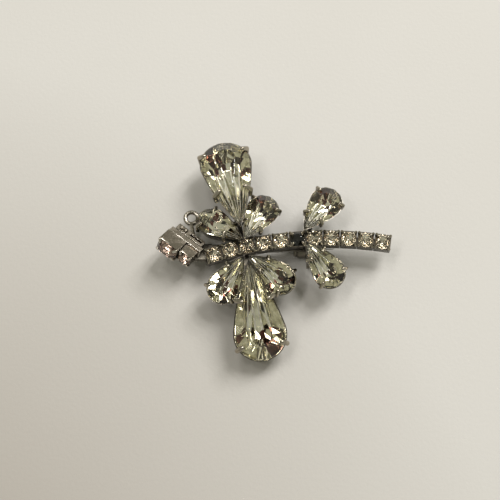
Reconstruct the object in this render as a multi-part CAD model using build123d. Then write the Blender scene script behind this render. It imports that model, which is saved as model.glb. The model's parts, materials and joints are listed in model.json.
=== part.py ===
from build123d import *
import math
import os

# A prong-set rhinestone brooch with a pin fastening behind. All sizes are in mm.
# Built with +X towards the tail, +Y across the wings and +Z out of the front.
# The back of the stone settings is z = 0 while it is built; the whole brooch is then
# moved so that the origin is the centre of its bounding box, at the bottom.

# Row of round stones
CHATON_DIAMETER = 2.78      # SS12 round stone
CHATON_CROWN = 0.50
CHATON_GIRDLE = 0.14
CHATON_PAVILION = 1.10
CHATON_RIM = 0.10           # how far the square cup stands out past its stone
CHATON_WALL = 0.22
CHATON_FLOOR = 0.28
CHATON_PRONG = 0.27         # prong radius
CHATON_REACH = 0.42         # how far a prong leans in over its stone
CHATON_CUP = CHATON_DIAMETER + 2 * CHATON_RIM
ROW_GAP = 0.16              # air between neighbouring cups on the row's centre line
ROW_PITCH = CHATON_CUP + ROW_GAP
ROW_RADIUS = 70.0           # plan radius of the curved row
ROW_APEX = 14.8             # X of the highest point of the curve, from the centre stone
ROW_FIRST = -2              # number of the stone next to the head, the centre stone is 0
ROW_LAST = 8                # number of the stone at the tail end

# Large pear stones, the wings
LARGE_LENGTH = 18.4
LARGE_WIDTH = 9.6
LARGE_CROWN = 2.0
LARGE_GIRDLE = 0.35
LARGE_PAVILION = 4.0
LARGE_WALL = 0.34
LARGE_FLOOR = 0.45
LARGE_PRONG = 0.46          # prong radius

# Small pear stones, the petals and the tail leaves
SMALL_LENGTH = 10.0
SMALL_WIDTH = 6.0
SMALL_CROWN = 1.25
SMALL_GIRDLE = 0.25
SMALL_PAVILION = 2.3
SMALL_WALL = 0.28
SMALL_FLOOR = 0.35
SMALL_PRONG = 0.34

# Both pear sizes
PEAR_SHOULDER = 12.0        # degrees from the widest point to where the sides begin
PEAR_TABLE = 0.58           # table size over girdle size
PEAR_FOOT = 0.60            # size of a cup's foot over its stone
PEAR_RIM = 0.08             # how far the cup's rim stands out from the girdle
STONE_TO_FLOOR = 0.12       # air under the point of a stone
CLAW_REACH = 0.04           # how far a claw's foot stands out from the girdle

# Heights of the pear tips over what lies under them
ROW_TOP = CHATON_FLOOR + STONE_TO_FLOOR + CHATON_PAVILION + CHATON_GIRDLE + CHATON_CROWN
TIP_OVER_ROW = 0.96
WING_OVER_PETAL = 0.60
SMALL_TIP_Z = ROW_TOP + TIP_OVER_ROW
LARGE_TIP_Z = SMALL_TIP_Z + SMALL_GIRDLE + SMALL_CROWN + WING_OVER_PETAL

# Where each pear points: tip X, tip Y, tip height, plan direction, droop and roll in degrees.
# Tip Y is measured from a side of the cups at the centre stone, and the tail leaves hang
# on the row at a number of pitches from that stone.
ROW_EDGE = CHATON_CUP / 2
LEAF_PITCH = 3.328
WINGS = {
    "wing_upper": (-1.14, ROW_EDGE + 1.16, LARGE_TIP_Z, 102.3, 11.0, 0.0),
    "wing_lower": (0.30, -ROW_EDGE - 2.26, LARGE_TIP_Z, -80.8, 17.0, 0.0),
}
PETALS = {
    "petal_upper_right": (-0.50, ROW_EDGE - 0.49, SMALL_TIP_Z, 60.0, 10.0, 0.0),
    "petal_upper_left": (-0.80, ROW_EDGE - 0.60, SMALL_TIP_Z, 145.5, 12.0, 18.0),
    "petal_lower_left": (-0.50, -ROW_EDGE - 0.86, SMALL_TIP_Z, 235.8, 12.0, 0.0),
    "petal_lower_right": (0.45, -ROW_EDGE - 0.81, SMALL_TIP_Z, 324.3, 12.0, 0.0),
    "tail_leaf_upper": (LEAF_PITCH * ROW_PITCH, ROW_EDGE + 1.21, SMALL_TIP_Z, 53.0, 6.0, 0.0),
    "tail_leaf_lower": (LEAF_PITCH * ROW_PITCH + 0.30, 1.79 - ROW_EDGE, SMALL_TIP_Z, -52.5, 9.0, 0.0),
}

# Head: two square step-cut stones that face sideways, on an upright plate
HEAD_STEP = (-5.512, 2.891, 0.95)   # from the row's end to the middle of the large cup's back
HEAD_DIRECTION = -38.0      # plan direction of the line through the two stones
HEAD_TILT = 66.0            # how far the stones turn from facing up to facing sideways
HEAD_LARGE_WIDTH = 4.2
HEAD_LARGE_HEIGHT = 3.1
HEAD_LARGE_DEPTH = 2.8      # plate to girdle
HEAD_SMALL_WIDTH = 2.6
HEAD_SMALL_HEIGHT = 2.5
HEAD_SMALL_DEPTH = 2.1
HEAD_CUP_GAP = 0.14
HEAD_WALL = 0.26
HEAD_PLATE_LENGTH = 7.2
HEAD_PLATE_HEIGHT = 3.1
HEAD_PLATE_THICKNESS = 1.1
HEAD_BAR_WIDTH = 1.4
HEAD_BAR_HEIGHT = 2.0
HEAD_BAR_SLOT = 0.45
HEAD_SLOT_LENGTH = 2.6
HEAD_SLOT_DEPTH = 1.0
HEAD_BEAD = 0.42            # radius of the beads on the bar
HEAD_BEAD_PITCH = 0.92
HEAD_LARGE_PRONG = 0.26
HEAD_SMALL_PRONG = 0.22

# Wire eye beside the head
EYE_STEP = (2.69, 5.01, -1.85)      # from the head's large cup to the ring's centre
EYE_HOLE = 1.5
EYE_WIRE = 0.80
EYE_SIDE = 268.0            # plan direction from the ring's centre to its shank
EYE_SHANK = (0.5, -3.1, 2.25)     # from the ring to the far end of the shank

# Backing frame under the settings
SPINE_WIDTH = 1.7
FRAME_THICKNESS = 0.5
ARM_WIDTH = 1.1
ARM_BACK = 2.4              # how far an arm runs back past its pear's tip
ARM_REACH = 3.4             # how far it runs out under the cup, more under a high tip
ARM_REACH_RISE = 0.9

# Strap between the frame and the head
NECK_LENGTH = 2.0
NECK_WIDTH = 1.3
NECK_OFFSET = 0.7
NECK_HEIGHT = 1.3

# Pin fastening, measured along the pin from the hinge
HINGE_X = -7.4
HINGE_Y = 0.15
PIN_HEADING = 1.5           # plan direction of the pin
BAR_LENGTH = 22.0
BAR_WIDTH = 1.6
BAR_THICKNESS = 0.5
BAR_BEHIND_HINGE = 1.3
CATCH_X = 17.5
PIN_DIAMETER = 0.80
PIN_TIP_X = 23.7
PIN_TIP_RADIUS = 0.08
PIN_TAPER = 7.7             # length over which the pin narrows to its point
RIVET_DIAMETER = 0.90
RIVET_CLEARANCE = 0.05
PIN_EYE_WALL = 0.50
PIN_EYE_RADIUS = RIVET_DIAMETER / 2 + RIVET_CLEARANCE + PIN_EYE_WALL
PIN_EYE_WIDTH = 1.0
CHEEK_THICKNESS = 0.5
CHEEK_RADIUS = RIVET_DIAMETER / 2 + 0.47
CHEEK_OVER_EYE = 0.12       # air above the pin's eye
CHEEK_GAP = 0.12            # air each side of the pin's eye
RIVET_HEAD = 0.2
CATCH_LENGTH = 1.6
CATCH_FOOT = 1.6
ROLLER_BORE = PIN_DIAMETER / 2 + 0.10
ROLLER_WALL = 0.52
ROLLER_RADIUS = ROLLER_BORE + ROLLER_WALL
ROLLER_CLEARANCE = 0.06
ROLLER_FLANGE = 0.55
ROLLER_LIP = 0.26
CATCH_WALL = 0.42
CATCH_RADIUS = ROLLER_RADIUS + ROLLER_CLEARANCE + CATCH_WALL
ROLLER_SLOT = PIN_DIAMETER + 0.12
CATCH_SLOT = ROLLER_SLOT + 0.14
LEVER_REACH = 3.2
LEVER_WIDTH = 0.8
LEVER_ROOT = 0.7            # how far from the axis the lever leaves the flange
PIN_DROP = CATCH_RADIUS + 0.05      # pin axis below the underside of the bar
CUTTER = 9.0                # length of a tool body that cuts right through a piece


LARGE_PEAR = (LARGE_LENGTH, LARGE_WIDTH, LARGE_CROWN, LARGE_GIRDLE,
              LARGE_PAVILION, LARGE_WALL, LARGE_FLOOR, LARGE_PRONG)
SMALL_PEAR = (SMALL_LENGTH, SMALL_WIDTH, SMALL_CROWN, SMALL_GIRDLE,
              SMALL_PAVILION, SMALL_WALL, SMALL_FLOOR, SMALL_PRONG)


# ---------------------------------------------------------------- helpers
def direction(azimuth):
    """Unit plan vector at an angle from +X."""
    return math.cos(math.radians(azimuth)), math.sin(math.radians(azimuth))


def polyhedron(loops):
    """Solid closed by flat faces, each given as a loop of corner points."""
    faces = [Face(Wire.make_polygon([Vector(*p) for p in loop], close=True)) for loop in loops]
    return Solid(Shell(faces))


def rod(start, end, radius, round_end=True):
    """Round rod between two points, with a ball on its end."""
    a = Vector(*start)
    b = Vector(*end)
    axis = b - a
    shape = Solid.make_cylinder(radius, axis.length, Plane(origin=a, z_dir=axis))
    if round_end:
        shape = shape.fuse(Solid.make_sphere(radius, Plane(origin=b), -90, 90, 360))
    return shape


def single(shape):
    """The one solid of a boolean result, dropping loose slivers."""
    return max(shape.solids(), key=lambda s: s.volume)


def row_point(index):
    """Centre and heading of a stone in the curved row."""
    start = -math.asin(ROW_APEX / ROW_RADIUS)
    angle = start + index * ROW_PITCH / ROW_RADIUS
    x = ROW_APEX + ROW_RADIUS * math.sin(angle)
    y = ROW_RADIUS * (math.cos(angle) - math.cos(start))
    return x, y, -math.degrees(angle)


# ---------------------------------------------------------------- stones
def brilliant(outline, culet, table, crown, girdle, pavilion):
    """Faceted stone on an even-sided outline: star and kite crown, pointed pavilion."""
    n = len(outline)
    cx, cy = culet
    low = [(x, y, 0) for x, y in outline]
    high = [(x, y, girdle) for x, y in outline]
    top = []
    for x, y in outline[::2]:
        top.append((cx + table * (x - cx), cy + table * (y - cy), girdle + crown))
    point = (cx, cy, -pavilion)
    faces = [top]
    for i in range(n):
        j = (i + 1) % n
        faces.append([low[i], low[j], high[j], high[i]])
        faces.append([low[i], low[j], point])
        near = top[((i + 1) // 2) % len(top)]
        faces.append([high[i], high[j], near])
    for k in range(len(top)):
        nxt = (k + 1) % len(top)
        faces.append([top[k], top[nxt], high[2 * k + 1]])
    return polyhedron(faces)


def step_cut(width, height, corner, crown, girdle, pavilion):
    """Rectangular stone with cut corners and two crown steps."""
    w = width / 2
    h = height / 2
    c = corner
    ring = [(w, -h + c), (w, h - c), (w - c, h), (-w + c, h),
            (-w, h - c), (-w, -h + c), (-w + c, -h), (w - c, -h)]
    levels = [(1.0, 0), (1.0, girdle), (0.80, girdle + 0.6 * crown), (0.50, girdle + crown)]
    rings = [[(x * k, y * k, z) for x, y in ring] for k, z in levels]
    point = (0, 0, -pavilion)
    faces = [rings[-1]]
    for i in range(8):
        j = (i + 1) % 8
        faces.append([rings[0][i], rings[0][j], point])
        for a, b in zip(rings, rings[1:]):
            faces.append([a[i], a[j], b[j], b[i]])
    return polyhedron(faces)


def chaton_stone():
    """Round stone, z = 0 at the underside of its girdle."""
    r = CHATON_DIAMETER / 2
    outline = [(r * math.cos(math.pi * i / 8), r * math.sin(math.pi * i / 8)) for i in range(16)]
    return brilliant(outline, (0, 0), 0.56, CHATON_CROWN, CHATON_GIRDLE, CHATON_PAVILION)


# ---------------------------------------------------------------- pear shapes
def pear_arcs(length, width, grow):
    """Key points of a pear outline, culet at the origin and tip towards -X."""
    r = width / 2
    a = length - r
    s = math.sin(math.radians(PEAR_SHOULDER))
    c = math.cos(math.radians(PEAR_SHOULDER))
    big = (a * a + r * r - 2 * a * s * r) / (2 * (r - a * s))
    centre = ((big - r) * s, -(big - r) * c)
    tip = centre[0] - math.sqrt((big + grow) ** 2 - centre[1] ** 2)
    return r + grow, s, c, centre, big + grow, tip


def pear_face(length, width, grow, height):
    """Flat pear at a height, grown outwards or shrunk inwards."""
    r, s, c, centre, big, tip = pear_arcs(length, width, grow)
    a0 = math.atan2(-centre[1], tip - centre[0])
    a1 = math.atan2(c, -s)
    mid = (a0 + a1) / 2
    mx = centre[0] + big * math.cos(mid)
    my = centre[1] + big * math.sin(mid)
    side_a = ThreePointArc((tip, 0), (mx, my), (-r * s, r * c))
    end = ThreePointArc((-r * s, r * c), (r, 0), (-r * s, -r * c))
    side_b = ThreePointArc((-r * s, -r * c), (mx, -my), (tip, 0))
    return Plane.XY.offset(height) * make_face([side_a, end, side_b])


def pear_point(length, width, grow, fraction):
    """Point and outward normal on a pear, fraction 0 at the tip, 0.5 at the round end."""
    r, s, c, centre, big, tip = pear_arcs(length, width, grow)
    a0 = math.atan2(-centre[1], tip - centre[0])
    a1 = math.atan2(c, -s)
    side = big * (a0 - a1)
    half_end = r * a1
    total = side + half_end
    f = fraction % 1.0
    sign = 1.0
    if f > 0.5:
        f = 1.0 - f
        sign = -1.0
    run = 2 * f * total
    if run < side:
        angle = a0 - run / big
        x = centre[0] + big * math.cos(angle)
        y = centre[1] + big * math.sin(angle)
    else:
        angle = a1 - (run - side) / r
        x = r * math.cos(angle)
        y = r * math.sin(angle)
    return x, sign * y, math.cos(angle), sign * math.sin(angle)


def pear_stone(size, sides):
    """Faceted pear, z = 0 at the underside of its girdle."""
    length, width, crown, girdle, pavilion = size[:5]
    outline = []
    for i in range(sides):
        x, y, _, _ = pear_point(length, width, 0.0, i / sides)
        outline.append((x, y))
    outline.reverse()
    outline = outline[-1:] + outline[:-1]
    return brilliant(outline, (0, 0), PEAR_TABLE, crown, girdle, pavilion)


def pear_depth(size):
    """Cup depth below the girdle."""
    return size[4] + STONE_TO_FLOOR + size[6]


def pear_hull(size, grow=0.0):
    """Filled outer shape of a pear cup, used to trim what it is soldered to."""
    length, width = size[:2]
    depth = pear_depth(size)
    top = pear_face(length, width, PEAR_RIM + grow, 0.0)
    low = pear_face(length * PEAR_FOOT, width * PEAR_FOOT, grow, -depth)
    return single(loft([low, top], ruled=True))


def pear_cup(size, stone, prongs):
    """Cup with a seat cut to the stone and one claw at each given place."""
    length, width, crown, girdle, pavilion, wall, floor, pr = size
    depth = pear_depth(size)
    shell = pear_hull(size)
    top = pear_face(length, width, PEAR_RIM - wall, 0.0)
    low = pear_face(length * PEAR_FOOT, width * PEAR_FOOT, -wall, -depth + floor)
    shell = shell.cut(single(loft([low, top], ruled=True)))
    shell = shell.cut(Solid.make_cylinder(width * 0.13, floor * 3, Plane(origin=(0, 0, -depth - floor))))
    for fraction in prongs:
        x, y, nx, ny = pear_point(length, width, 0.0, fraction)
        foot = (x + nx * CLAW_REACH, y + ny * CLAW_REACH, -0.9 * girdle - 2.2 * pr)
        knee = (x + nx * pr * 0.55, y + ny * pr * 0.55, girdle + 0.25 * pr)
        bead = (x - nx * pr * 1.6, y - ny * pr * 1.6, girdle + crown * 0.42 + 0.35 * pr)
        shell = shell.fuse(rod(foot, knee, pr)).fuse(rod(knee, bead, pr))
    return single(shell.cut(stone))


# ---------------------------------------------------------------- square cups
def box_cup(width, height, depth, wall, floor, stone, prong, reach, top):
    """Box cup with four corner claws, z = 0 at the underside of the girdle."""
    w = width / 2
    h = height / 2
    cup = Solid.make_box(width, height, depth, Plane(origin=(-w, -h, -depth)))
    cup = cup.cut(Solid.make_box(width - 2 * wall, height - 2 * wall, depth,
                                 Plane(origin=(wall - w, wall - h, floor - depth))))
    cup = cup.cut(Solid.make_cylinder(width * 0.14, floor * 3, Plane(origin=(0, 0, -depth - floor))))
    for sx in (-1, 1):
        for sy in (-1, 1):
            x = sx * (w - prong * 0.75)
            y = sy * (h - prong * 0.75)
            knee = (x, y, top * 0.35)
            bead = (x - sx * reach, y - sy * reach, top)
            cup = cup.fuse(rod((x, y, -prong * 1.6), knee, prong)).fuse(rod(knee, bead, prong))
    return single(cup.cut(stone))


def chaton_depth():
    return CHATON_PAVILION + STONE_TO_FLOOR + CHATON_FLOOR


# ---------------------------------------------------------------- placing
def pear_location(size, place):
    """Stands a pear's culet frame so that its tip is at the given point."""
    length, width = size[:2]
    tx, ty, tz, azimuth, droop, roll = place
    ca, sa = direction(azimuth)
    cd, sd = direction(droop)
    run = length - width / 2
    origin = (tx + run * ca * cd, ty + run * sa * cd, tz - run * sd)
    flat = Plane(origin=origin, x_dir=(ca * cd, sa * cd, -sd), z_dir=(ca * sd, sa * sd, cd))
    return flat.location * Location((0, 0, 0), (roll, 0, 0))


def row_location(index):
    x, y, heading = row_point(index)
    return Location((x, y, chaton_depth()), (0, 0, heading))


def head_point():
    """Middle of the back of the head's large cup."""
    x, y, heading = row_point(ROW_FIRST)
    return x - CHATON_CUP / 2 + HEAD_STEP[0], y + HEAD_STEP[1], HEAD_STEP[2]


def head_plane():
    """Upright plane on the head plate's front, X along the stones, Z the way they face."""
    ca, sa = direction(HEAD_DIRECTION)
    ct, st = direction(HEAD_TILT)
    lean = (sa, -ca)
    return Plane(origin=head_point(), x_dir=(ca, sa, 0), z_dir=(lean[0] * st, lean[1] * st, ct))


# ---------------------------------------------------------------- groups
def build_row(nodes):
    stone = chaton_stone()
    cup = box_cup(CHATON_CUP, CHATON_CUP, chaton_depth(), CHATON_WALL, CHATON_FLOOR, stone,
                  CHATON_PRONG, CHATON_REACH, CHATON_GIRDLE + CHATON_CROWN * 0.55)
    for number, index in enumerate(range(ROW_FIRST, ROW_LAST + 1), start=1):
        place = row_location(index)
        nodes["row_cup_%02d" % number] = cup.moved(place)
        nodes["row_stone_%02d" % number] = stone.moved(place)


def build_pears(nodes, places, size, sides, prongs):
    stone = pear_stone(size, sides)
    cup = pear_cup(size, stone, prongs)
    hull = pear_hull(size)
    hulls = []
    for name, place in places.items():
        location = pear_location(size, place)
        nodes[name + "_cup"] = cup.moved(location)
        nodes[name + "_stone"] = stone.moved(location)
        hulls.append((place, hull.moved(location)))
    return hulls


def build_frame(nodes, hulls):
    """Curved spine under the row with an arm to each pear cup."""
    first = row_point(ROW_FIRST)
    last = row_point(ROW_LAST)
    z0 = -FRAME_THICKNESS
    outer = Solid.make_cylinder(ROW_RADIUS + SPINE_WIDTH / 2, FRAME_THICKNESS,
                                Plane(origin=(ROW_APEX, spine_centre_y(), z0)))
    inner = Solid.make_cylinder(ROW_RADIUS - SPINE_WIDTH / 2, FRAME_THICKNESS * 3,
                                Plane(origin=(ROW_APEX, spine_centre_y(), z0 - FRAME_THICKNESS)))
    left = first[0] - CHATON_CUP * 0.5
    right = last[0] + CHATON_CUP * 0.35
    window = Solid.make_box(right - left, 12, 4, Plane(origin=(left, -6, -2)))
    frame = outer.cut(inner).intersect(window)
    frame = single(frame)
    for place, hull in hulls:
        tx, ty, tz, azimuth = place[:4]
        length = ARM_BACK + ARM_REACH + ARM_REACH_RISE * tz
        ca, sa = direction(azimuth)
        corner = (tx - ARM_BACK * ca + sa * ARM_WIDTH / 2, ty - ARM_BACK * sa - ca * ARM_WIDTH / 2, z0)
        arm = Solid.make_box(length, ARM_WIDTH, FRAME_THICKNESS,
                             Plane(origin=corner, x_dir=(ca, sa, 0), z_dir=(0, 0, 1)))
        frame = frame.fuse(arm)
    for place, hull in hulls:
        frame = frame.cut(hull)
    return frame


def spine_centre_y():
    start = -math.asin(ROW_APEX / ROW_RADIUS)
    return -ROW_RADIUS * math.cos(start)


def head_cup(width, height, depth, prong):
    """One of the head's stones with its box cup."""
    crown = 0.22 * height
    pavilion = 0.42 * height
    stone = step_cut(width - HEAD_WALL, height - HEAD_WALL, 0.2 * height, crown, 0.06 * height, pavilion)
    cup = box_cup(width, height, depth, HEAD_WALL, HEAD_WALL, stone, prong, prong * 1.3, crown * 0.6)
    return cup, stone


def build_head(nodes):
    """Plate, slotted bar behind it and two box cups in front."""
    place = head_plane().location
    left = -HEAD_LARGE_WIDTH / 2
    cup, stone = head_cup(HEAD_LARGE_WIDTH, HEAD_LARGE_HEIGHT, HEAD_LARGE_DEPTH, HEAD_LARGE_PRONG)
    at = place * Location((0, 0, HEAD_LARGE_DEPTH))
    nodes["head_large_cup"] = cup.moved(at)
    nodes["head_large_stone"] = stone.moved(at)
    cup, stone = head_cup(HEAD_SMALL_WIDTH, HEAD_SMALL_HEIGHT, HEAD_SMALL_DEPTH, HEAD_SMALL_PRONG)
    x = HEAD_LARGE_WIDTH / 2 + HEAD_CUP_GAP + HEAD_SMALL_WIDTH / 2
    at = place * Location((x, -0.1, HEAD_SMALL_DEPTH))
    nodes["head_small_cup"] = cup.moved(at)
    nodes["head_small_stone"] = stone.moved(at)
    t = HEAD_PLATE_THICKNESS
    plate = Solid.make_box(HEAD_PLATE_LENGTH, HEAD_PLATE_HEIGHT, t,
                           Plane(origin=(left + 0.1, -HEAD_PLATE_HEIGHT / 2, -t)))
    nodes["head_plate"] = plate.moved(place)
    bar_left = left + 0.7
    bar_length = HEAD_PLATE_LENGTH - 1.2
    bar_top = HEAD_PLATE_HEIGHT / 2 + 0.1
    bar = Solid.make_box(bar_length, HEAD_BAR_HEIGHT, HEAD_BAR_WIDTH,
                         Plane(origin=(bar_left, bar_top - HEAD_BAR_HEIGHT, -t - HEAD_BAR_WIDTH)))
    slot_left = bar_left + bar_length - HEAD_SLOT_LENGTH - 0.4
    slot = Solid.make_box(HEAD_SLOT_LENGTH, HEAD_SLOT_DEPTH + 0.4, HEAD_BAR_SLOT,
                          Plane(origin=(slot_left, bar_top - HEAD_SLOT_DEPTH,
                                        -t - (HEAD_BAR_WIDTH + HEAD_BAR_SLOT) / 2)))
    bar = bar.cut(slot)
    for number in (1, 2):
        x = bar_left + number * HEAD_BEAD_PITCH
        middle = Plane(origin=(x, bar_top + 0.2 * HEAD_BEAD, -t - HEAD_BAR_WIDTH / 2), z_dir=(0, 1, 0))
        bar = bar.fuse(Solid.make_sphere(HEAD_BEAD, middle, -90, 90, 360))
    trim = Solid.make_box(30, 30, 30, Plane(origin=(-15, -15, -t)))
    nodes["head_bar"] = single(bar.cut(trim)).moved(place)


def eye_centre():
    x, y, z = head_point()
    return x + EYE_STEP[0], y + EYE_STEP[1], z + EYE_STEP[2]


def build_eye(nodes):
    """Closed wire ring with a straight shank soldered to the head bar."""
    x, y, z = eye_centre()
    wire = EYE_WIRE / 2
    major = EYE_HOLE / 2 + wire
    ring = Solid.make_torus(major, wire, Plane(origin=(x, y, z)))
    ca, sa = direction(EYE_SIDE)
    start = (x + major * ca, y + major * sa, z)
    shank = rod(start, (start[0] + EYE_SHANK[0], start[1] + EYE_SHANK[1], z + EYE_SHANK[2]), wire, False)
    eye = ring.fuse(shank)
    for name in ("head_bar", "head_plate", "head_large_cup", "head_small_cup"):
        eye = eye.cut(nodes[name])
    nodes["wire_eye"] = single(eye)


def build_neck(nodes):
    """Short block from the left end of the spine to the head's plate and bar."""
    x, y, heading = row_point(ROW_FIRST)
    left = x - CHATON_CUP * 0.5
    strap = Solid.make_box(NECK_LENGTH, NECK_WIDTH, NECK_HEIGHT,
                           Plane(origin=(left - NECK_LENGTH, y - NECK_OFFSET, -FRAME_THICKNESS)))
    for name in ("row_cup_01", "head_plate", "head_bar", "head_small_cup", "head_large_cup"):
        strap = strap.cut(nodes[name])
    nodes["neck_strap"] = single(strap)


def bar_underside():
    return -FRAME_THICKNESS - BAR_THICKNESS


def pin_axis_z():
    return bar_underside() - PIN_DROP


def pin_location():
    """Frame of the pin fastening: origin above the hinge, X along the pin."""
    return Location((HINGE_X, HINGE_Y, 0), (0, 0, PIN_HEADING))


def across(x, start, length, radius, z):
    """Cylinder that runs across the pin, along Y."""
    return Solid.make_cylinder(radius, length, Plane(origin=(x, start, z), z_dir=(0, 1, 0)))


def along(x, length, radius, z):
    """Cylinder on the pin's axis, along X."""
    return Solid.make_cylinder(radius, length, Plane(origin=(x, 0, z), z_dir=(1, 0, 0)))


def build_bar(nodes, hulls):
    """Flat bar that carries the hinge and the catch."""
    bar = Solid.make_box(BAR_LENGTH, BAR_WIDTH, BAR_THICKNESS,
                         Plane(origin=(-BAR_BEHIND_HINGE, -BAR_WIDTH / 2, bar_underside())))
    bar = bar.moved(pin_location())
    for place, hull in hulls:
        bar = bar.cut(hull)
    nodes["pin_bar"] = single(bar)


def build_hinge(nodes):
    """Two cheeks under the bar, with the rivet across them."""
    z = pin_axis_z()
    inner = PIN_EYE_WIDTH / 2 + CHEEK_GAP
    outer = inner + CHEEK_THICKNESS
    r = CHEEK_RADIUS
    block = Solid.make_box(2 * r, 2 * outer, bar_underside() - z, Plane(origin=(-r, -outer, z)))
    block = block.fuse(across(0, -outer, 2 * outer, r, z))
    gap_top = z + PIN_EYE_RADIUS + CHEEK_OVER_EYE
    block = block.cut(Solid.make_box(4 * r, 2 * inner, 4 * r, Plane(origin=(-2 * r, -inner, gap_top - 4 * r))))
    block = block.cut(across(0, -CUTTER / 2, CUTTER, RIVET_DIAMETER / 2, z))
    nodes["hinge_block"] = single(block).moved(pin_location())
    rivet = across(0, -outer, 2 * outer, RIVET_DIAMETER / 2, z)
    rivet = rivet.fuse(across(0, outer, RIVET_HEAD, RIVET_DIAMETER * 0.75, z))
    rivet = rivet.fuse(across(0, -outer - RIVET_HEAD, RIVET_HEAD, RIVET_DIAMETER * 0.75, z))
    nodes["hinge_rivet"] = single(rivet).moved(pin_location())


def build_pin(nodes):
    """Pin stem: an eye on the rivet, a round shank and a long taper to the point."""
    z = pin_axis_z()
    r = PIN_DIAMETER / 2
    taper_x = PIN_TIP_X - PIN_TAPER
    stem = across(0, -PIN_EYE_WIDTH / 2, PIN_EYE_WIDTH, PIN_EYE_RADIUS, z)
    stem = stem.fuse(along(0, taper_x, r, z))
    point = Solid.make_cone(r, PIN_TIP_RADIUS, PIN_TAPER, Plane(origin=(taper_x, 0, z), z_dir=(1, 0, 0)))
    stem = stem.fuse(point)
    stem = stem.cut(across(0, -CUTTER / 2, CUTTER, RIVET_DIAMETER / 2 + RIVET_CLEARANCE, z))
    nodes["pin_stem"] = single(stem).moved(pin_location())


def build_catch(nodes):
    """Catch body on the bar, with a turning roller that closes round the pin."""
    z = pin_axis_z()
    x0 = CATCH_X - CATCH_LENGTH / 2
    top = bar_underside()
    body = along(x0, CATCH_LENGTH, CATCH_RADIUS, z)
    body = body.fuse(Solid.make_box(CATCH_LENGTH, CATCH_FOOT, top - z, Plane(origin=(x0, -CATCH_FOOT / 2, z))))
    start = CATCH_X - CUTTER / 2
    body = body.cut(Solid.make_box(CUTTER, CUTTER, CUTTER, Plane(origin=(start, -CUTTER / 2, top))))
    body = body.cut(along(start, CUTTER, ROLLER_RADIUS + ROLLER_CLEARANCE, z))
    body = body.cut(Solid.make_box(CUTTER, CATCH_SLOT, CUTTER,
                                   Plane(origin=(start, -CATCH_SLOT / 2, z - CUTTER))))
    nodes["catch_body"] = single(body).moved(pin_location())
    rx = x0 - ROLLER_CLEARANCE - ROLLER_FLANGE
    roller = along(rx, CATCH_LENGTH + 2 * (ROLLER_CLEARANCE + ROLLER_FLANGE), ROLLER_RADIUS, z)
    for fx in (rx, x0 + CATCH_LENGTH + ROLLER_CLEARANCE):
        roller = roller.fuse(along(fx, ROLLER_FLANGE, ROLLER_RADIUS + ROLLER_LIP, z))
    lx = x0 + CATCH_LENGTH + ROLLER_CLEARANCE
    lever = Solid.make_box(ROLLER_FLANGE, LEVER_REACH - LEVER_ROOT, LEVER_WIDTH,
                           Plane(origin=(lx, -LEVER_REACH, z - LEVER_WIDTH / 2)))
    tip = Solid.make_cylinder(LEVER_WIDTH * 0.65, ROLLER_FLANGE,
                              Plane(origin=(lx, -LEVER_REACH, z), z_dir=(1, 0, 0)))
    roller = roller.fuse(lever).fuse(tip)
    roller = roller.cut(along(start, CUTTER, ROLLER_BORE, z))
    roller = roller.cut(Solid.make_box(CUTTER, ROLLER_SLOT, CUTTER,
                                       Plane(origin=(start, -ROLLER_SLOT / 2, z - CUTTER))))
    nodes["catch_roller"] = single(roller).moved(pin_location())


# ---------------------------------------------------------------- the brooch
def build():
    nodes = {}
    build_row(nodes)
    wing_hulls = build_pears(nodes, WINGS, LARGE_PEAR, 20, (0.175, 0.38, 0.62, 0.825))
    petal_hulls = build_pears(nodes, PETALS, SMALL_PEAR, 16, (0.14, 0.36, 0.64, 0.86))
    hulls = wing_hulls + petal_hulls
    build_head(nodes)
    build_neck(nodes)
    build_eye(nodes)
    build_bar(nodes, hulls)
    nodes["backing_frame"] = single(build_frame(nodes, hulls))
    build_hinge(nodes)
    build_pin(nodes)
    build_catch(nodes)
    return nodes


def centred(nodes):
    """Moves every node so that the origin is the bottom centre of the whole."""
    box = Compound(children=[s.moved(Location()) for s in nodes.values()]).bounding_box()
    shift = Vector(-(box.min.X + box.max.X) / 2, -(box.min.Y + box.max.Y) / 2, -box.min.Z)
    return {name: shape.moved(Location(shift)) for name, shape in nodes.items()}, shift, box


def main():
    os.makedirs("parts", exist_ok=True)
    nodes, shift, box = centred(build())
    for name, shape in nodes.items():
        export_step(shape, "parts/%s.step" % name)
    print("size", box.size)
    print("shift", shift)
    place = Location(shift) * pin_location()
    for label, x in (("hinge", 0), ("catch", CATCH_X), ("tip", PIN_TIP_X), ("taper", PIN_TIP_X - PIN_TAPER)):
        print(label, (place * Location((x, 0, pin_axis_z()))).position)
    print("eye", Vector(*eye_centre()) + shift)
    print("nodes", len(nodes))


if __name__ == "__main__":
    main()
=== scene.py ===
import json
import math

import bmesh
import bpy
from mathutils import Matrix, Vector

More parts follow.
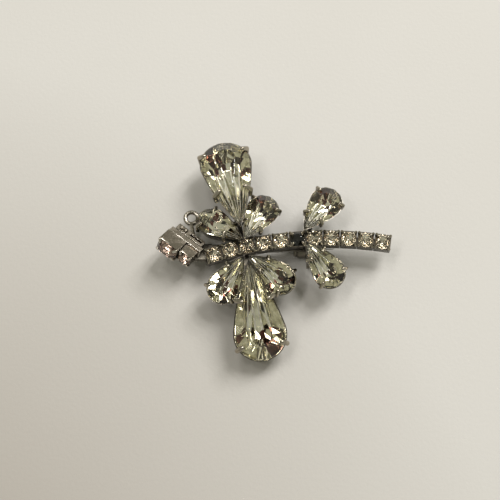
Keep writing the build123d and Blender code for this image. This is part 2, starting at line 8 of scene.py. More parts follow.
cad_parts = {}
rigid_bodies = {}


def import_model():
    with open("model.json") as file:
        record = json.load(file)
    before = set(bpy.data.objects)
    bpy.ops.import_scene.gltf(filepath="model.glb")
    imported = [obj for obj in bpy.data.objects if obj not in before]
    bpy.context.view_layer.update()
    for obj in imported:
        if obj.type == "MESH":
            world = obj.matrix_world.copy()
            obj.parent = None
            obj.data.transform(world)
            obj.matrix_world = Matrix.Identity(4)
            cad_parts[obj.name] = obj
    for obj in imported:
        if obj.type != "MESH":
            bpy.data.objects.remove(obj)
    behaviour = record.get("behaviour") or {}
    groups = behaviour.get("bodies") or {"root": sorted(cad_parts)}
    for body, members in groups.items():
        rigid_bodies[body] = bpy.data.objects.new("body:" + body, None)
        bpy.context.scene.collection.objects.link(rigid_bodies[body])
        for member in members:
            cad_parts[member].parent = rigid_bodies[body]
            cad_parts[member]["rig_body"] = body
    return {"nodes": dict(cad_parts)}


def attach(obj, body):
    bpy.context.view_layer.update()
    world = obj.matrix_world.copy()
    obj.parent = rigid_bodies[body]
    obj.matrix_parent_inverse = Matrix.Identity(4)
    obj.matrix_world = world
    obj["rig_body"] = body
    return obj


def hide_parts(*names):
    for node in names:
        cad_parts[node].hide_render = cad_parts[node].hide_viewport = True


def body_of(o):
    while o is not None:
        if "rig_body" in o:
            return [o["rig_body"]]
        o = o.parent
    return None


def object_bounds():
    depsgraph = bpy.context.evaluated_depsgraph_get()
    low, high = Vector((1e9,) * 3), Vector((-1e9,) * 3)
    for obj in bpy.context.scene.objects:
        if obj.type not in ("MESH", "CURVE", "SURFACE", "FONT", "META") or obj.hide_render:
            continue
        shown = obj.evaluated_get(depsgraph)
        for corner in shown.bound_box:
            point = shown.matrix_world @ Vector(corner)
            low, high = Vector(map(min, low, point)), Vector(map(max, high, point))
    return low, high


MM = 0.001
WELD = 0.002 * MM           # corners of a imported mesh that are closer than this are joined

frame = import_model()
CAD_BOX = [list(corner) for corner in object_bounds()]
LOW = Vector(CAD_BOX[0])
HIGH = Vector(CAD_BOX[1])
CENTRE = (LOW + HIGH) / 2


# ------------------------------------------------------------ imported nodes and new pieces
def body_name(node):
    """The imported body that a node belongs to."""
    return body_of(bpy.data.objects[node])[0]


def node_mesh(node):
    """A loose copy of a node's mesh, with doubled corners joined."""
    bm = bmesh.new()
    bm.from_mesh(bpy.data.objects[node].data)
    bmesh.ops.remove_doubles(bm, verts=bm.verts, dist=WELD)
    return bm


def add_piece(name, bm, node, materials):
    """Turns a bmesh into a finished piece that rides its node's body and stands for the node."""
    mesh = bpy.data.meshes.new(name)
    bm.to_mesh(mesh)
    bm.free()
    piece = bpy.data.objects.new(name, mesh)
    bpy.context.scene.collection.objects.link(piece)
    for material in materials:
        mesh.materials.append(material)
    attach(piece, body_name(node))
    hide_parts(node)
    return piece


# ------------------------------------------------------------ shading tools
class Shader:
    """Short way to lay out a node tree."""

    def __init__(self, tree):
        self.tree = tree

    def node(self, kind, **settings):
        made = self.tree.nodes.new(kind)
        for key, value in settings.items():
            setattr(made, key, value)
        return made

    def link(self, start, end):
        self.tree.links.new(start, end)

    def feed(self, value, socket):
        """Links a socket to another, or sets a plain value on it."""
        if isinstance(value, bpy.types.NodeSocket):
            self.link(value, socket)
        else:
            socket.default_value = value

    def object_coords(self):
        return self.node("ShaderNodeTexCoord").outputs["Object"]

    def noise(self, coords, scale, detail=3.0):
        made = self.node("ShaderNodeTexNoise")
        made.inputs["Detail"].default_value = detail
        self.link(coords, made.inputs["Vector"])
        self.feed(scale, made.inputs["Scale"])
        return made.outputs["Fac"]

    def remap(self, value, low, high, to_low=0.0, to_high=1.0):
        made = self.node("ShaderNodeMapRange")
        made.inputs["From Min"].default_value = low
        made.inputs["From Max"].default_value = high
        self.feed(to_low, made.inputs["To Min"])
        self.feed(to_high, made.inputs["To Max"])
        self.link(value, made.inputs["Value"])
        return made.outputs["Result"]

    def math(self, operation, first, second):
        made = self.node("ShaderNodeMath", operation=operation)
        self.feed(first, made.inputs[0])
        self.feed(second, made.inputs[1])
        return made.outputs[0]

    def mix(self, factor, first, second):
        """Colour mix: the first where the factor is 0, the second where it is 1."""
        made = self.node("ShaderNodeMix", data_type="RGBA")
        self.feed(factor, made.inputs[0])
        self.feed(first, made.inputs[6])
        self.feed(second, made.inputs[7])
        return made.outputs[2]


def new_group(name, inputs, outputs):
    """Empty shader group with named number sockets."""
    tree = bpy.data.node_groups.new(name, "ShaderNodeTree")
    for label, value in inputs:
        socket = tree.interface.new_socket(label, in_out="INPUT", socket_type="NodeSocketFloat")
        socket.default_value = value
    for label in outputs:
        tree.interface.new_socket(label, in_out="OUTPUT", socket_type="NodeSocketFloat")
    shader = Shader(tree)
    start = shader.node("NodeGroupInput")
    end = shader.node("NodeGroupOutput")
    return tree, shader, start, end


CORNER_SHADE_SHARE = 0.85         # how much of the mask is tarnish and painted shade in corners
BLOTCH_SHARE = 0.45         # and how much from blotches
CASTING_GRAIN = 6000.0      # scale of the fine grain left by casting


def tarnish_and_shade_group():
    """Tarnish and painted shade in the corners that ambient occlusion finds, and black tarnish in soft
    blotches.
    """
    tree, s, start, end = new_group(
        "tarnish_and_shade",
        [("Amount", 0.5), ("Reach", 0.6 * MM), ("Blotch Scale", 900.0)],
        ["Mask", "Height"])
    coords = s.object_coords()
    corners = s.node("ShaderNodeAmbientOcclusion", samples=6)
    s.link(start.outputs["Reach"], corners.inputs["Distance"])
    painted_corner_shade = s.remap(corners.outputs["AO"], 0.15, 0.80, 1.0, 0.0)
    patch = s.remap(s.noise(coords, start.outputs["Blotch Scale"], 4.0), 0.42, 0.72)
    both = s.math("ADD", s.math("MULTIPLY", painted_corner_shade, CORNER_SHADE_SHARE), s.math("MULTIPLY", patch, BLOTCH_SHARE))
    mask = s.math("MULTIPLY", both, start.outputs["Amount"])
    s.link(s.math("MINIMUM", mask, 1.0), end.inputs["Mask"])
    s.link(s.noise(coords, CASTING_GRAIN, 2.0), end.inputs["Height"])
    return tree


def rubbing_group():
    """Cloudy rubbing that changes the gloss between two values."""
    tree, s, start, end = new_group(
        "rubbing",
        [("Scale", 2500.0), ("Low", 0.15), ("High", 0.4)],
        ["Roughness"])
    cloud = s.noise(s.object_coords(), start.outputs["Scale"], 5.0)
    rough = s.remap(cloud, 0.3, 0.7, start.outputs["Low"], start.outputs["High"])
    s.link(rough, end.inputs["Roughness"])
    return tree


TARNISH_AND_SHADE = tarnish_and_shade_group()
RUBBING = rubbing_group()


# ------------------------------------------------------------ materials
TARNISH_ROUGHENS = 0.35     # roughness that the full mask of tarnish and painted shade adds
METAL_RELIEF = 0.02 * MM    # height of the grain on metal
GLASS_IOR = 1.56
GLASS_VEIN = 0.97           # how much of its tint the darker glass keeps


def blank_material(name):
    """Material with a plain shader that is ready to be linked."""
    material = bpy.data.materials.new(name)
    material.use_nodes = True
    material.node_tree.nodes.clear()
    s = Shader(material.node_tree)
    surface = s.node("ShaderNodeBsdfPrincipled")
    output = s.node("ShaderNodeOutputMaterial")
    s.link(surface.outputs["BSDF"], output.inputs["Surface"])
    return material, s, surface


def darker(colour, share):
    """A colour with its red, green and blue scaled down."""
    return tuple(channel * share for channel in colour[:3]) + (1.0,)


def metal(name, bright, dark, tarnish_and_shade, reach, gloss, relief):
    """Plated metal with tarnish and painted shade in its corners, and rubbed gloss."""
    material, s, surface = blank_material(name)
    shade = s.node("ShaderNodeGroup", node_tree=TARNISH_AND_SHADE)
    shade.inputs["Amount"].default_value = tarnish_and_shade
    shade.inputs["Reach"].default_value = reach
    rubbed = s.node("ShaderNodeGroup", node_tree=RUBBING)
    rubbed.inputs["Low"].default_value = gloss[0]
    rubbed.inputs["High"].default_value = gloss[1]
    s.link(s.mix(shade.outputs["Mask"], bright, dark), surface.inputs["Base Color"])
    surface.inputs["Metallic"].default_value = 1.0
    dulled = s.math("MULTIPLY", shade.outputs["Mask"], TARNISH_ROUGHENS)
    s.link(s.math("ADD", rubbed.outputs["Roughness"], dulled), surface.inputs["Roughness"])
    bump = s.node("ShaderNodeBump")
    bump.inputs["Strength"].default_value = relief
    bump.inputs["Distance"].default_value = METAL_RELIEF
    s.link(shade.outputs["Height"], bump.inputs["Height"])
    s.link(bump.outputs["Normal"], surface.inputs["Normal"])
    return material


def glass(name, tint, roughness):
    """Cut glass, with a slight cast that changes through the stone."""
    material, s, surface = blank_material(name)
    vein = s.remap(s.noise(s.object_coords(), 300.0, 2.0), 0.35, 0.65)
    s.link(s.mix(vein, tint, darker(tint, GLASS_VEIN)), surface.inputs["Base Color"])
    surface.inputs["IOR"].default_value = GLASS_IOR
    surface.inputs["Transmission Weight"].default_value = 1.0
    surface.inputs["Roughness"].default_value = roughness
    return material


def foil(name, bright, dull, roughness):
    """Metal foil behind a stone, with faint clouding."""
    material, s, surface = blank_material(name)
    cloud = s.remap(s.noise(s.object_coords(), 700.0), 0.45, 0.75)
    s.link(s.mix(cloud, bright, dull), surface.inputs["Base Color"])
    surface.inputs["Metallic"].default_value = 1.0
    surface.inputs["Roughness"].default_value = roughness
    return material


# Each metal turns to its dark colour under the mask: tarnish, and painted shade in corners and between
# parts.
SETTING = metal(
    "silver_setting", bright=(0.34, 0.31, 0.26, 1), dark=(0.018, 0.015, 0.011, 1),
    tarnish_and_shade=1.0, reach=0.9 * MM, gloss=(0.10, 0.28), relief=0.03)
# A near-black copy of the setting metal: painted shade inside the row's cups, below the stones' girdles.
ROW_SETTING_SHADED = metal(
    "row_setting_shaded", bright=(0.10, 0.088, 0.066, 1), dark=(0.010, 0.008, 0.006, 1),
    tarnish_and_shade=1.2, reach=1.4 * MM, gloss=(0.12, 0.3), relief=0.03)
HEAD_SETTING = metal(
    "head_setting", bright=(0.28, 0.245, 0.20, 1), dark=(0.03, 0.024, 0.018, 1),
    tarnish_and_shade=0.9, reach=0.5 * MM, gloss=(0.14, 0.24), relief=0.01)
# A pale copy of the head's metal for its eased edges: a painted highlight along them.
EDGE_HIGHLIGHT = metal(
    "edge_highlight", bright=(0.72, 0.68, 0.61, 1), dark=(0.12, 0.10, 0.08, 1),
    tarnish_and_shade=0.8, reach=0.5 * MM, gloss=(0.10, 0.2), relief=0.01)
CLAW = metal(
    "claw_metal", bright=(0.42, 0.38, 0.31, 1), dark=(0.02, 0.016, 0.012, 1),
    tarnish_and_shade=1.0, reach=0.6 * MM, gloss=(0.06, 0.16), relief=0.01)
BACK = metal(
    "back_metal", bright=(0.24, 0.22, 0.18, 1), dark=(0.016, 0.013, 0.010, 1),
    tarnish_and_shade=1.1, reach=3.0 * MM, gloss=(0.2, 0.45), relief=0.08)
PIN = metal(
    "pin_wire", bright=(0.52, 0.52, 0.50, 1), dark=(0.08, 0.07, 0.06, 1),
    tarnish_and_shade=0.4, reach=0.5 * MM, gloss=(0.2, 0.35), relief=0.08)

CLEAR = glass("clear_stone", (0.985, 0.985, 0.93, 1), 0.0)
SMOKE = glass("smoked_stone", (0.25, 0.25, 0.24, 1), 0.08)

FOIL = foil("stone_foil", (0.93, 0.90, 0.80, 1), (0.58, 0.55, 0.41, 1), 0.03)
# Near-white rough foil on the thin facets of each pear's fan: painted highlight lines.
FOIL_HIGHLIGHT_LINE = foil("foil_highlight_line", (1.0, 0.98, 0.93, 1), (0.90, 0.87, 0.80, 1), 0.6)
# Darker olive foil on every other broad facet of the fan: a painted olive reflection.
FOIL_OLIVE_REFLECTION = foil("foil_olive_reflection", (0.45, 0.43, 0.28, 1), (0.28, 0.26, 0.16, 1), 0.12)
# Dark red-brown foil on two facets of each pear's round end: a painted reflection of dark surroundings.
FOIL_DARK_REFLECTION = foil("foil_dark_reflection", (0.115, 0.05, 0.04, 1), (0.04, 0.018, 0.015, 1), 0.10)
ROW_FOIL = foil("row_foil", (0.97, 0.91, 0.82, 1), (0.34, 0.28, 0.20, 1), 0.03)
HEAD_FOIL = foil("rosy_foil", (0.52, 0.38, 0.33, 1), (0.22, 0.14, 0.11, 1), 0.08)
SMOKE_FOIL = foil("blackened_foil", (0.06, 0.06, 0.055, 1), (0.02, 0.02, 0.02, 1), 0.3)

# What a stone's facets are numbered for. Only the pears have the last three, which paint highlight lines,
# olive reflections and dark reflections on chosen facets.
GLASS_LAYER, FOIL_LAYER, HIGHLIGHT_LINE_LAYER, OLIVE_REFLECTION_LAYER, DARK_REFLECTION_LAYER = range(5)
PEAR_LAYERS = [CLEAR, FOIL, FOIL_HIGHLIGHT_LINE, FOIL_OLIVE_REFLECTION, FOIL_DARK_REFLECTION]


# ------------------------------------------------------------ measuring and finishing a stone
STONE_FLAT = math.radians(0.6)      # faces that turn less than this are one facet
STONE_SHARP = math.radians(5)       # edges that turn more than this are eased
FACES_DOWN = -0.12          # a facet whose normal has less rise than this is foiled
SAME_NORMAL = 0.99995       # cosine of the angle within which two normals are one facet's


def stone_axes(bm):
    """A packed stone's own up, square to its table, and its lowest point."""
    sums = {}
    for face in bm.faces:
        key = tuple(round(part, 2) for part in face.normal)
        area, normal = sums.get(key, (0.0, Vector()))
        sums[key] = (area + face.calc_area(), normal + face.normal * face.calc_area())
    up = max(sums.values(), key=lambda item: item[0])[1].normalized()
    culet = min((v.co for v in bm.verts), key=lambda co: co.dot(up)).copy()
    return up, culet


def stone_levels(bm, up, culet):
    """Heights in mm over the culet: the culet, under the girdle, over the girdle, the table."""
    return sorted({round((v.co - culet).dot(up) / MM, 2) for v in bm.verts})


def ease_stone(bm, edge):
    """Rounds a stone's edges by a hair, so that they catch the light."""
    bmesh.ops.dissolve_limit(bm, angle_limit=STONE_FLAT, verts=bm.verts, edges=bm.edges)
    bm.normal_update()
    sharp = [line for line in bm.edges if line.calc_face_angle(0) > STONE_SHARP]
    bmesh.ops.bevel(bm, geom=sharp, offset=edge, segments=1, affect="EDGES", clamp_overlap=True)
    bm.normal_update()


def finish_stone(node, bm, up, materials):
    """Glass above, foil on the facets that face down, unless they carry a painted highlight or reflection
    of their own.
    """
    for face in bm.faces:
        below = face.normal.dot(up) < FACES_DOWN
        if not (below and face.material_index > FOIL_LAYER):
            face.material_index = FOIL_LAYER if below else GLASS_LAYER
        face.smooth = False
    add_piece(node + "_cut", bm, node, materials)


# ------------------------------------------------------------ grinding facets, all in mm
CUT_TOLERANCE = 1e-5        # corners this close to a cut lie on it
BLANK_BELOW = 1.0           # how far the uncut glass reaches under the culet


def slice_off(bm, point, normal):
    """Grinds one flat facet on a convex stone."""
    parts = bm.verts[:] + bm.edges[:] + bm.faces[:]
    cut = bmesh.ops.bisect_plane(
        bm, geom=parts, dist=CUT_TOLERANCE, plane_co=point, plane_no=normal, clear_outer=True)
    rim = [part for part in cut["geom_cut"] if isinstance(part, bmesh.types.BMEdge)]
    if len(rim) > 2:
        bmesh.ops.edgeloop_fill(bm, edges=rim)


def level_normal(turn, slope):
    """Normal of a facet that faces a plan direction in degrees; a negative slope faces down."""
    angle = math.radians(turn)
    side = 1.0 if slope > 0 else -1.0
    return Vector((abs(slope) * math.cos(angle), abs(slope) * math.sin(angle), side)).normalized()


def rim_point(turn, radius, height=0.0):
    """Point on a round rim, at a plan direction in degrees."""
    angle = math.radians(turn)
    return Vector((radius * math.cos(angle), radius * math.sin(angle), height))


def rough_stone(outline, bottom, top):
    """Upright block of glass over an outline, ready to be ground."""
    bm = bmesh.new()
    low = [bm.verts.new((point[0], point[1], bottom)) for point in outline]
    high = [bm.verts.new((point[0], point[1], top)) for point in outline]
    bm.faces.new(high)
    bm.faces.new(low[::-1])
    for i in range(len(outline)):
        j = (i + 1) % len(outline)
        bm.faces.new((low[i], low[j], high[j], high[i]))
    bmesh.ops.recalc_face_normals(bm, faces=bm.faces)
    return bm


ROUND_SIDES = 24
ROUND_TABLE_STEP = 0.46     # from the girdle in to the table, over the radius
ROUND_WELD = 0.005          # corners of a cut round stone that are closer than this are joined
# Slopes of a round stone's facets: the first three over its depth per radius, the last
# over the slope of the kites above the girdle.
ROUND_KITE = 0.86
ROUND_STAR = 0.55
ROUND_LOWER_RIM = 1.35
ROUND_UPPER_RIM = 1.5


def cut_round(diameter, crown, girdle, pavilion):
    """Round stone: eight kites and sixteen rim facets above and below."""
    r = diameter / 2
    deep = pavilion / r
    rise = crown / (ROUND_TABLE_STEP * r)
    outline = [rim_point(360 * i / ROUND_SIDES, r) for i in range(ROUND_SIDES)]
    bm = rough_stone(outline, -pavilion - BLANK_BELOW, girdle + crown)
    for k in range(8):
        turn = 45.0 * k
        slice_off(bm, Vector((0, 0, -pavilion)), level_normal(turn, -ROUND_KITE * deep))
        slice_off(bm, rim_point(turn, r, girdle), level_normal(turn, rise))
        slice_off(bm, Vector((0, 0, -0.93 * pavilion)), level_normal(turn + 22.5, -ROUND_STAR * deep))
    for k in range(16):
        turn = 22.5 * k + 11.25
        slice_off(bm, rim_point(turn, 0.99 * r), level_normal(turn, -ROUND_LOWER_RIM * deep))
        slice_off(bm, rim_point(turn, r, 0.6 * girdle), level_normal(turn, ROUND_UPPER_RIM * rise))
    bmesh.ops.remove_doubles(bm, verts=bm.verts, dist=ROUND_WELD)
    return bm


PEAR_SHOULDER = math.radians(12.0)  # from the widest point to where the straighter sides begin
PEAR_STEPS = 10             # points along each stretch of the outline
FAN_FACETS = 7              # long facets that run to a pear's tip
FAN_START = math.radians(38.0)      # turn round the stone's length where they begin
FAN_THIN = 1.0035           # how far out the thin facets between them stand
FAN_END = -0.42             # where the fan is measured, over the stone's half width
FAN_WIDE = 0.97             # the fan's half width there, over the stone's
FAN_DEEP = 0.90             # the fan's depth there, over the pavilion's
PEAR_WELD = 0.01            # corners of a cut pear that are closer than this are joined
# Slopes of a pear's facets: below the girdle over its depth per half width, above it plain.
PEAR_SIDE = 1.25
PEAR_KITE = 0.60
PEAR_MAIN = 1.12
PEAR_STEEP = 1.9
PEAR_CROWN = 0.70
PEAR_CROWN_RIM = 1.3


def pear_outline(length, width):
    """Points and outward normals round a pear, from its tip at -X; the culet is at 0, 0."""
    r = width / 2
    a = length - r
    s = math.sin(PEAR_SHOULDER)
    c = math.cos(PEAR_SHOULDER)
    side = (a * a + r * r - 2 * a * s * r) / (2 * (r - a * s))      # radius of the long sides
    cx = (side - r) * s
    cy = -(side - r) * c
    first = math.atan2(-cy, -a - cx)
    last = math.atan2(c, -s)
    half = []
    for i in range(PEAR_STEPS + 1):
        angle = first + (last - first) * i / PEAR_STEPS
        nx = math.cos(angle)
        ny = math.sin(angle)
        half.append((cx + side * nx, cy + side * ny, nx, ny))
    for i in range(1, PEAR_STEPS + 1):
        angle = last * (1 - i / PEAR_STEPS)
        nx = math.cos(angle)
        ny = math.sin(angle)
        half.append((r * nx, r * ny, nx, ny))
    other = [(x, -y, nx, -ny) for x, y, nx, ny in half[1:-1]]
    return half + other[::-1]


def grind_fan(bm, length, r, pavilion):
    """Long facets under a pear that meet at its tip, with thin ones between; gives the painted highlight
    lines of the thin ones and the painted olive reflections of every other broad one.
    """
    tip = Vector((r - length, 0, 0))
    tinted = []
    for k in range(2 * FAN_FACETS - 1):
        angle = FAN_START + (math.pi - 2 * FAN_START) * (k + 1) / (2 * FAN_FACETS)
        thin = k % 2 == 1
        out = FAN_THIN if thin else 1.0
        wide = FAN_WIDE * r
        deep = FAN_DEEP * pavilion
        point = Vector((FAN_END * r, out * wide * math.cos(angle), -out * deep * math.sin(angle)))
        along = Vector((0, -wide * math.sin(angle), -deep * math.cos(angle)))
        normal = (point - tip).cross(along).normalized()
        if normal.z > 0:
            normal = -normal
        slice_off(bm, tip, normal)
        if thin:
            tinted.append((normal, HIGHLIGHT_LINE_LAYER))
        elif k % 4 == 0:
            tinted.append((normal, OLIVE_REFLECTION_LAYER))
    return tinted


def grind_round_end(bm, r, pavilion):
    """Kites and mains under a pear's round end; gives the two that get a painted dark red-brown
    reflection.
    """
    kite = -PEAR_KITE * pavilion / r
    main = -PEAR_MAIN * pavilion / r
    steep = -PEAR_STEEP * pavilion / r
    for turn in (-45, 45):
        slice_off(bm, Vector((0, 0, -pavilion)), level_normal(turn, kite))
    for turn in (-72, -36, 0, 36, 72):
        slice_off(bm, rim_point(turn, r), level_normal(turn, main))
    for turn in (-90, -54, -18, 18, 54, 90):
        slice_off(bm, rim_point(turn, r) * 1.01, level_normal(turn, steep))
    return [(level_normal(45, kite), DARK_REFLECTION_LAYER), (level_normal(36, main), DARK_REFLECTION_LAYER)]


def cut_pear(length, width, crown, girdle, pavilion):
    """Pear stone: a fan of long facets to the tip, kites round the culet, two rows of crown facets."""
    outline = pear_outline(length, width)
    bm = rough_stone(outline, -pavilion - BLANK_BELOW, girdle + crown)
    r = width / 2
    tinted = grind_fan(bm, length, r, pavilion)
    plan = [math.degrees(math.atan2(ny, nx)) for x, y, nx, ny in outline]
    for i in (2, 5, 8):
        for side in (-1, 1):
            edge = Vector((outline[i][0], side * outline[i][1], 0))
            slice_off(bm, edge, level_normal(side * plan[i], -PEAR_SIDE * pavilion / r))
    tinted += grind_round_end(bm, r, pavilion)
    for i in range(1, len(outline), 3):
        slice_off(bm, Vector((*outline[i][:2], 0.9 * girdle)), level_normal(plan[i], PEAR_CROWN))
    for i in range(3, len(outline), 3):
        slice_off(bm, Vector((*outline[i][:2], 0.55 * girdle)), level_normal(plan[i], PEAR_CROWN_RIM))
    bmesh.ops.remove_doubles(bm, verts=bm.verts, dist=PEAR_WELD)
    bm.normal_update()
    for face in bm.faces:
        for normal, layer in tinted:
            if face.normal.dot(normal) > SAME_NORMAL:
                face.material_index = layer
    return bm


# ------------------------------------------------------------ the stones
def build_square_stone(node, materials, edge):
    """Square stone of the head, cut as packed."""
    bm = node_mesh(node)
    up, culet = stone_axes(bm)
    ease_stone(bm, edge)
    finish_stone(node, bm, up, materials)


def build_cut_stone(node, pear, materials, edge):
    """Stone cut again in full detail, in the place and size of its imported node."""
    packed = node_mesh(node)
    up, culet = stone_axes(packed)
    reach = [(v.co - culet) - up * (v.co - culet).dot(up) for v in packed.verts]
    levels = stone_levels(packed, up, culet)
    packed.free()
    tip = max(reach, key=lambda step: step.length)
    x_axis = -tip.normalized()
    y_axis = up.cross(x_axis)
    length = (max(step.dot(x_axis) for step in reach) + tip.length) / MM
    width = 2 * max(step.dot(y_axis) for step in reach) / MM
    pavilion = levels[1]
    girdle = levels[2] - levels[1]
    crown = levels[-1] - levels[2]
    if pear:
        bm = cut_pear(length, width, crown, girdle, pavilion)
    else:
        bm = cut_round(length, crown, girdle, pavilion)
    turn = Matrix((x_axis, y_axis, up)).transposed().to_4x4()
    place = Matrix.Translation(culet + up * pavilion * MM) @ turn @ Matrix.Scale(MM, 4)
    bmesh.ops.transform(bm, matrix=place, verts=bm.verts)
    ease_stone(bm, edge)
    finish_stone(node, bm, up, materials)


PEAR_NODES = ("wing", "petal", "tail_leaf")
SMOKED_NODE = "row_stone_06"        # the one stone of the row that has gone dark
STONES = [node for node in frame["nodes"] if node.endswith("_stone") or node.startswith("row_stone")]
for node in STONES:
    if node.startswith(PEAR_NODES):
        build_cut_stone(node, True, PEAR_LAYERS, 0.03 * MM)
    elif node == SMOKED_NODE:
        build_cut_stone(node, False, [SMOKE, SMOKE_FOIL], 0.02 * MM)
    elif node.startswith("row_stone"):
        build_cut_stone(node, False, [CLEAR, ROW_FOIL], 0.02 * MM)
    else:
        build_square_stone(node, [CLEAR, HEAD_FOIL], 0.03 * MM)


# ------------------------------------------------------------ the metal
METAL_FLAT = math.radians(0.5)      # faces that turn less than this are one face
METAL_CREASE = math.radians(32)     # edges that turn more than this are shaded as creases
METAL_SHARP = math.radians(35)      # and those that turn more than this are eased
CLAW_ABOVE = 0.05           # mm over the girdle from which a cup's metal is rubbed bright; below it a row cup keeps its painted shade


def rub_claws(bm, stone):
    """Puts the rubbed metal on what stands above a stone's girdle."""
    packed = node_mesh(stone)
    up, culet = stone_axes(packed)
    girdle_top = stone_levels(packed, up, culet)[2]
    packed.free()
    for face in bm.faces:
        height = (face.calc_center_median() - culet).dot(up) / MM
        face.material_index = 1 if height > girdle_top + CLAW_ABOVE else 0


def build_metal(node, materials, edge):
    """A node's metal with its sharp edges eased; the last material goes on the eased edges, and where it
    is a paler metal it paints a highlight along them.
    """
    bm = node_mesh(node)
    bmesh.ops.dissolve_limit(bm, angle_limit=METAL_FLAT, verts=bm.verts, edges=bm.edges)
    bm.normal_update()
    stone = node.replace("cup", "stone")
    if stone != node:
        rub_claws(bm, stone)
    piece = add_piece(node + "_metal", bm, node, materials)
    ease = piece.modifiers.new("ease", "BEVEL")
    ease.width = edge
    ease.segments = 2
    ease.limit_method = "ANGLE"
    ease.angle_limit = METAL_SHARP
    ease.harden_normals = False
    ease.material = len(materials) - 1
    for polygon in piece.data.polygons:
        polygon.use_smooth = True
    piece.data.set_sharp_from_angle(angle=METAL_CREASE)


BACK_NODES = ("pin_bar", "hinge_block", "catch_body", "catch_roller", "backing_frame", "neck_strap")
PIN_NODES = ("pin_stem", "hinge_rivet")
for node in frame["nodes"]:
    if node in STONES:
        continue
    if node in BACK_NODES:
        build_metal(node, [BACK], 0.06 * MM)
    elif node in PIN_NODES:
        build_metal(node, [PIN], 0.03 * MM)
    elif node.startswith("row_cup"):
        build_metal(node, [ROW_SETTING_SHADED, CLAW], 0.03 * MM)
    elif node.startswith("head"):
        build_metal(node, [HEAD_SETTING, EDGE_HIGHLIGHT], 0.09 * MM)
    else:
        build_metal(node, [SETTING, CLAW], 0.04 * MM)


# ------------------------------------------------------------ floor and cards
FLOOR_SIZE = 2.4
CLOTH_FOLD = 0.7            # how much of its colour a cloth keeps in its darker parts
SHADED_SPOT = (0.085, 0.085, 0.0)   # a spot on the floor, in its own axes, in the room's shade
SHADE_NEAR = 0.03           # the shade is full within this distance of it
SHADE_FAR = 0.13            # and gone past this one


def paper_material():
    """Pale paper with a fine grain, shaded towards one spot."""
    material, s, surface = blank_material("floor_paper")
    coords = s.object_coords()
    tone = s.remap(s.noise(coords, 14.0), 0.3, 0.7)
    paper = s.mix(tone, (0.535, 0.520, 0.492, 1), (0.558, 0.543, 0.518, 1))
    away = s.node("ShaderNodeVectorMath", operation="DISTANCE")
    s.link(coords, away.inputs[0])
    away.inputs[1].default_value = SHADED_SPOT
    shade = s.remap(away.outputs["Value"], SHADE_NEAR, SHADE_FAR, 1.0, 0.0)
    s.link(s.mix(shade, paper, (0.34, 0.31, 0.275, 1)), surface.inputs["Base Color"])
    surface.inputs["Roughness"].default_value = 0.85
    grain = s.node("ShaderNodeBump")
    grain.inputs["Strength"].default_value = 0.25
    grain.inputs["Distance"].default_value = 0.15 * MM
    s.link(s.noise(coords, 1400.0), grain.inputs["Height"])
    s.link(grain.outputs["Normal"], surface.inputs["Normal"])
    return material


def cloth_material(name, colour):
    """Dull dark cloth for the stones to reflect."""
    material, s, surface = blank_material(name)
    tone = s.remap(s.noise(s.object_coords(), 3.0, 2.0), 0.3, 0.7)
    s.link(s.mix(tone, colour, darker(colour, CLOTH_FOLD)), surface.inputs["Base Color"])
    surface.inputs["Roughness"].default_value = 0.9
    return material


def flat_card(name, place, facing, width, height, material):
    """Flat stage card at a place, turned to face a point."""
    mesh = bpy.data.meshes.new(name)
    w = width / 2
    h = height / 2
    mesh.from_pydata([(-w, -h, 0), (w, -h, 0), (w, h, 0), (-w, h, 0)], [], [(0, 1, 2, 3)])
    card = bpy.data.objects.new(name, mesh)
    bpy.context.scene.collection.objects.link(card)
    card.location = place
    card.rotation_euler = (Vector(facing) - Vector(place)).to_track_quat("Z", "Y").to_euler()
    mesh.materials.append(material)


FLOOR_PLACE = Vector((CENTRE.x, CENTRE.y, LOW.z))
flat_card("floor", FLOOR_PLACE, FLOOR_PLACE + Vector((0, 0, 1)), FLOOR_SIZE, FLOOR_SIZE, paper_material())

DARK = cloth_material("dark_cloth", (0.085, 0.018, 0.012, 1))
BLACK = cloth_material("black_cloth", (0.02, 0.012, 0.014, 1))
flat_card("dark_left", (-0.16, -0.30, 0.42), CENTRE, 0.22, 0.30, DARK)
flat_card("dark_right", (0.17, -0.22, 0.50), CENTRE, 0.14, 0.30, DARK)
flat_card("dark_above", (-0.01, -0.06, 0.36), CENTRE, 0.17, 0.15, BLACK)


# ------------------------------------------------------------ light
SKY_COLOUR = (0.80, 0.80, 0.66, 1)
SKY_STRENGTH = 0.50


def pane_light(name, place, facing, size, power, colour):
    """One square pane of light, facing a point."""
    data = bpy.data.lights.new(name, "AREA")
    data.shape = "RECTANGLE"
    data.size = size
    data.size_y = size
    data.energy = power
    data.color = colour
    lamp = bpy.data.objects.new(name, data)
    bpy.context.scene.collection.objects.link(lamp)
    lamp.location = place
    lamp.rotation_euler = (place - facing).to_track_quat("Z", "Y").to_euler()


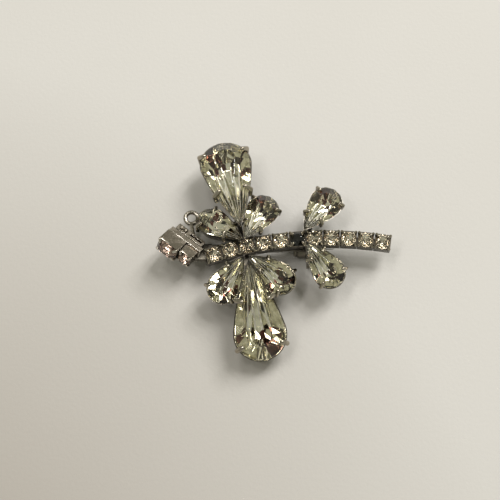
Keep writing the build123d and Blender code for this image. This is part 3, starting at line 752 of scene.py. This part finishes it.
def window(name, place, facing, rows, columns, pitch, size, power, colour):
    """Grid of bright panes with dark bars between them, facing a point."""
    middle = Vector(place)
    turn = (middle - facing).to_track_quat("Z", "Y")
    for row in range(rows):
        for column in range(columns):
            across = (column - (columns - 1) / 2) * pitch
            along = (row - (rows - 1) / 2) * pitch
            spot = middle + turn @ Vector((across, along, 0))
            pane_light("%s_%d_%d" % (name, row, column), spot, facing, size, power, colour)


window("window", (0.42, 0.50, 0.80), CENTRE, rows=3, columns=2, pitch=0.19, size=0.15, power=1.6,
       colour=(1.0, 0.985, 0.965))
window("room", (-0.34, 0.16, 1.00), CENTRE, rows=1, columns=3, pitch=0.30, size=0.16, power=1.2,
       colour=(1.0, 0.97, 0.95))

world = bpy.data.worlds.new("room")
world.use_nodes = True
sky = world.node_tree.nodes["Background"]
sky.inputs["Color"].default_value = SKY_COLOUR
sky.inputs["Strength"].default_value = SKY_STRENGTH
bpy.context.scene.world = world
bpy.context.scene.view_settings.view_transform = "Standard"
bpy.context.scene.cycles.glossy_bounces = 12    # enough for light to leave a foiled stone


# ------------------------------------------------------------ camera
ELEVATION = math.radians(72.0)
VIEW_WIDTH = 91.7 * MM      # width of what is seen at the aim
LENS = 85.0
SENSOR = 36.0
AIM_ALONG = 17.38 * MM      # the aim's distance from the head's end of the box
AIM_ACROSS = -0.37 * MM     # from the middle of the box
AIM_HEIGHT = 5.54 * MM      # and from the floor

aim = Vector((LOW.x + AIM_ALONG, CENTRE.y + AIM_ACROSS, LOW.z + AIM_HEIGHT))
distance = VIEW_WIDTH * LENS / SENSOR
camera_data = bpy.data.cameras.new("camera")
camera_data.lens = LENS
camera_data.sensor_width = SENSOR
camera_data.clip_start = 0.01
camera = bpy.data.objects.new("camera", camera_data)
bpy.context.scene.collection.objects.link(camera)
camera.location = aim + distance * Vector((0.0, -math.cos(ELEVATION), math.sin(ELEVATION)))
camera.rotation_euler = (camera.location - aim).to_track_quat("Z", "Y").to_euler()
bpy.context.scene.camera = camera
